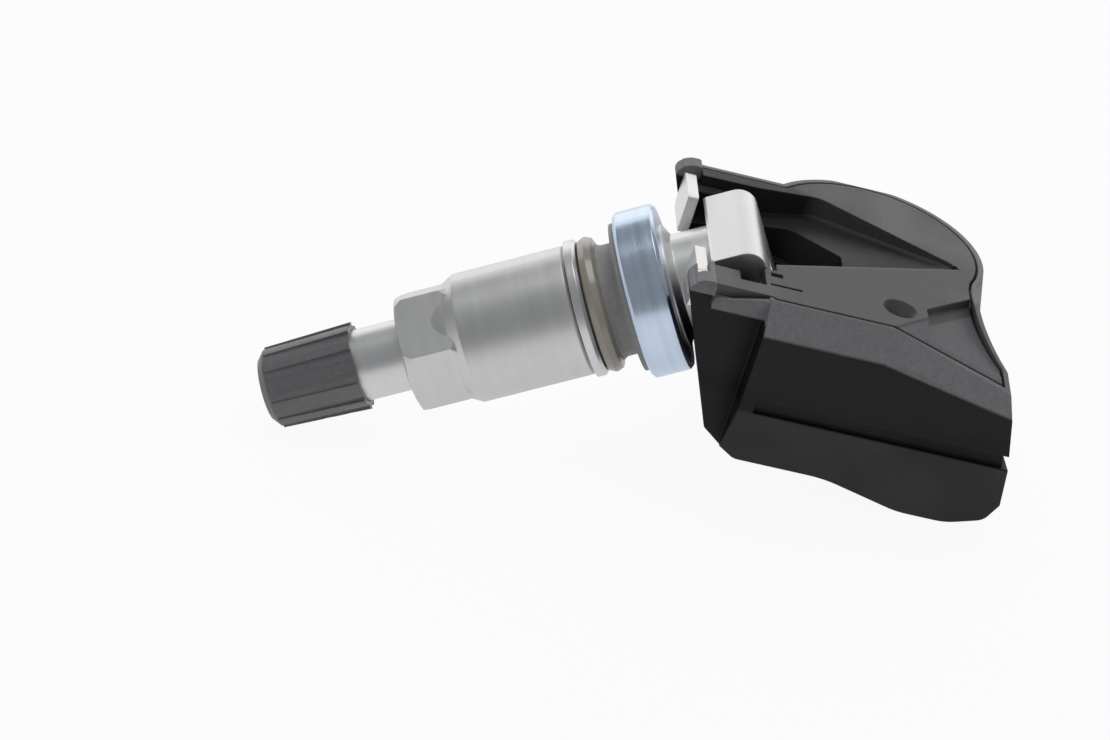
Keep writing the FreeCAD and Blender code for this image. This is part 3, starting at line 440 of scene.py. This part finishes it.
def hoopShape(group, source):
    hoop = group.nodes.new("GeometryNodeCurvePrimitiveCircle")
    hoop.inputs["Resolution"].default_value = hoopDetail["around"]
    wire = group.nodes.new("GeometryNodeCurvePrimitiveCircle")
    wire.inputs["Resolution"].default_value = hoopDetail["wire"]
    sweep = group.nodes.new("GeometryNodeCurveToMesh")
    turn = group.nodes.new("GeometryNodeTransform")
    turn.inputs["Rotation"].default_value = (math.pi / 2, 0.0, 0.0)
    group.links.new(source["Radius"], hoop.inputs["Radius"])
    group.links.new(source["Wire"], wire.inputs["Radius"])
    group.links.new(hoop.outputs["Curve"], sweep.inputs["Curve"])
    group.links.new(wire.outputs["Curve"], sweep.inputs["Profile Curve"])
    group.links.new(sweep.outputs["Mesh"], turn.inputs["Geometry"])
    return turn.outputs["Geometry"]


hoopInputs = [("Radius", "NodeSocketFloat"), ("Wire", "NodeSocketFloat")]
rowGroups = {"blocks": makeRowGroup("blockRow", [("Size", "NodeSocketVector")], blockShape),
             "hoops": makeRowGroup("hoopRow", hoopInputs, hoopShape)}


def makeRow(name, kind, values):
    group = rowGroups[kind]
    holder = bpy.data.objects.new(name + "Source", bpy.data.meshes.new(name + "Source"))
    scene.collection.objects.link(holder)
    modifier = holder.modifiers.new("row", "NODES")
    modifier.node_group = group
    for item in group.interface.items_tree:
        if item.item_type == "SOCKET" and item.in_out == "INPUT":
            modifier[item.identifier] = values[item.name]
    graph = bpy.context.evaluated_depsgraph_get()
    mesh = bpy.data.meshes.new_from_object(holder.evaluated_get(graph), depsgraph=graph)
    mesh.transform(housingTurn)
    bpy.data.objects.remove(holder)
    piece = bpy.data.objects.new(name, mesh)
    scene.collection.objects.link(piece)
    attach(piece, "housing")


rowSettings = {
    "coil_turns": ("hoops", "coil", {
        "Count": 24, "Start": (20.2, -1.9, -4.9), "Step": (0.0, 0.3, 0.0), "Radius": 1.22, "Wire": 0.14,
        "Material": materials["coil"]})}
for side, across in (("near", -12.6), ("far", -6.0)):
    rowSettings["sensor_legs_" + side] = ("blocks", "tab", {
        "Count": 4, "Start": (13.0, across, -6.28), "Step": (1.27, 0.0, 0.0), "Size": (0.45, 0.7, 0.2),
        "Material": materials["spring"]})
for name, (kind, slot, values) in rowSettings.items():
    makeRow(name, kind, values)
print("rows made")


# The stem with its screw thread cut, which the source keeps as a plain cylinder at the crests.
# A station is the distance in millimetres from the swivel towards the cap.
def stemPlace(station, angle, radius):
    along, up = stem["seat"] - station, radius * math.cos(angle)
    return Vector((along * math.cos(stem["tilt"]) - up * math.sin(stem["tilt"]), radius * math.sin(angle),
                   along * math.sin(stem["tilt"]) + up * math.cos(stem["tilt"]))) * millimetre


def stemStation(place):
    along = place.x * math.cos(stem["tilt"]) + place.z * math.sin(stem["tilt"])
    up = place.z * math.cos(stem["tilt"]) - place.x * math.sin(stem["tilt"])
    return stem["seat"] - along / millimetre, math.hypot(place.y, up) / millimetre


def cutShare(station, settings):
    shares = [min((station - low) / settings["fade"], (high - station) / settings["fade"], 1.0)
              for low, high in settings["runs"]]
    return max(0.0, *shares)


# The plain cylinder's faces go, and their first and last stations say how far the new wall runs
def removePlainWall(body, settings):
    plain, stations = [], []
    for face in body.faces:
        places = [stemStation(corner.co) for corner in face.verts]
        if all(abs(radius - settings["radius"]) < settings["near"] for station, radius in places):
            plain.append(face)
            stations += [station for station, radius in places]
    bmesh.ops.delete(body, geom=plain, context="FACES")
    return min(stations), max(stations)


# One row of corners once round the stem, which climbs one pitch on its way
def makeThreadRow(body, first, depth, span, settings):
    row = []
    for index in range(settings["segments"] + 1):
        around = index / settings["segments"]
        station = min(max(first + around * settings["pitch"], span[0]), span[1])
        radius = settings["radius"] - settings["depth"] * depth * cutShare(station, settings)
        row.append(body.verts.new(stemPlace(station, around * turnAngle, radius)))
    return row


def makeThreadedStem(name, settings):
    mesh = nodes[settings["node"]].data.copy()
    body = bmesh.new()
    body.from_mesh(mesh)
    span = removePlainWall(body, settings)
    turns = math.ceil((span[1] - span[0]) / settings["pitch"]) + 1
    rows = [makeThreadRow(body, span[0] + (turn + share) * settings["pitch"], depth, span, settings)
            for turn in range(-1, turns) for share, depth in settings["profile"]]
    for first, second in zip(rows, rows[1:]):
        for index in range(settings["segments"]):
            face = body.faces.new((first[index], first[index + 1], second[index + 1], second[index]))
            face.smooth = True
            body.edges.get((first[index], first[index + 1])).smooth = False
    bmesh.ops.remove_doubles(body, verts=[corner for row in rows for corner in row],
                             dist=settings["merge"] * millimetre)
    body.to_mesh(mesh)
    body.free()
    piece = bpy.data.objects.new(name, mesh)
    scene.collection.objects.link(piece)
    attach(piece, "valve")
    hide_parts(settings["node"])


threadSettings = {"node": "valve_stem", "radius": 3.875, "near": 0.02, "pitch": 0.794, "depth": 0.42,
                  "segments": 64, "merge": 0.001, "fade": 0.6, "runs": [(17.6, 31.0), (42.4, 51.0)],
                  "profile": [(0.0, 0.0), (0.14, 0.0), (0.5, 1.0), (0.64, 1.0)]}
makeThreadedStem("threaded_stem", threadSettings)
print("thread made")


# Stage: floor, lamps and camera
def makeFloor(settings):
    mesh = bpy.data.meshes.new("floor")
    half, level = settings["half"], settings["lowest"] - settings["gap"]
    corners = [(-half, -half, level), (half, -half, level), (half, half, level), (-half, half, level)]
    mesh.from_pydata(corners, [], [(0, 1, 2, 3)])
    floor = bpy.data.objects.new("floor", mesh)
    scene.collection.objects.link(floor)
    material = bpy.data.materials.new("paleFloor")
    material.use_nodes = True
    tree = material.node_tree
    tree.nodes.clear()
    output = tree.nodes.new("ShaderNodeOutputMaterial")
    diffuse = tree.nodes.new("ShaderNodeBsdfDiffuse")
    diffuse.inputs["Color"].default_value = (*settings["color"], 1.0)
    glow = tree.nodes.new("ShaderNodeEmission")
    glow.inputs["Color"].default_value = (*settings["seen"], 1.0)
    path = tree.nodes.new("ShaderNodeLightPath")
    share = maths(tree, "MULTIPLY", path.outputs["Is Camera Ray"], settings["share"])
    share = maths(tree, "MULTIPLY_ADD", path.outputs["Is Glossy Ray"], settings["mirrored"], share)
    mix = tree.nodes.new("ShaderNodeMixShader")
    tree.links.new(share, mix.inputs["Fac"])
    tree.links.new(diffuse.outputs[0], mix.inputs[1])
    tree.links.new(glow.outputs[0], mix.inputs[2])
    tree.links.new(mix.outputs[0], output.inputs["Surface"])
    mesh.materials.append(material)


def makeLamp(name, settings):
    light = bpy.data.lights.new(name, "AREA")
    light.shape = "RECTANGLE"
    light.size, light.size_y = settings["size"]
    light.energy = settings["power"]
    light.color = settings["color"]
    lamp = bpy.data.objects.new(name, light)
    scene.collection.objects.link(lamp)
    place = Vector(settings["place"])
    lamp.location = place
    lamp.rotation_euler = (Vector(settings["aim"]) - place).to_track_quat("-Z", "Y").to_euler()


floorSettings = {"half": 3.0, "lowest": min(corner[2] for corner in firstBounds), "gap": 0.00005,
                 "color": (0.9, 0.9, 0.9), "seen": (1.0, 1.0, 1.015), "share": 0.93, "mirrored": 0.75}
makeFloor(floorSettings)
lampSettings = {
    "topLamp": {"place": (0.05, 0.1, 0.8), "aim": (0.01, 0, 0), "size": (0.6, 0.5), "power": 2.0,
                "color": (1.0, 1.0, 1.0)},
    "backLamp": {"place": (0.0, 0.9, 0.27), "aim": (0.01, 0, 0), "size": (2.2, 0.65), "power": 4.5,
                 "color": (1.0, 1.0, 1.0)}}
for name, settings in lampSettings.items():
    makeLamp(name, settings)
worldSettings = {"color": (0.95, 0.97, 1.0), "strength": 0.32}
world = bpy.data.worlds.new("studio")
world.use_nodes = True
background = world.node_tree.nodes["Background"]
background.inputs["Color"].default_value = (*worldSettings["color"], 1.0)
background.inputs["Strength"].default_value = worldSettings["strength"]
scene.world = world

cameraSettings = {"place": (-0.03079040, -0.32355652, 0.17707648),
                  "turn": (60.0120478, -5.33687531, -1.32135804),
                  "lens": 113.5135, "sensor": 36.0, "clip": (0.01, 20.0)}
camera = bpy.data.objects.new("camera", bpy.data.cameras.new("camera"))
camera.location = cameraSettings["place"]
camera.rotation_euler = Euler([math.radians(angle) for angle in cameraSettings["turn"]], "XYZ")
camera.data.lens = cameraSettings["lens"]
camera.data.sensor_width = cameraSettings["sensor"]
camera.data.clip_start, camera.data.clip_end = cameraSettings["clip"]
scene.collection.objects.link(camera)
scene.camera = camera
scene.view_settings.view_transform = "Standard"
print("stage made")
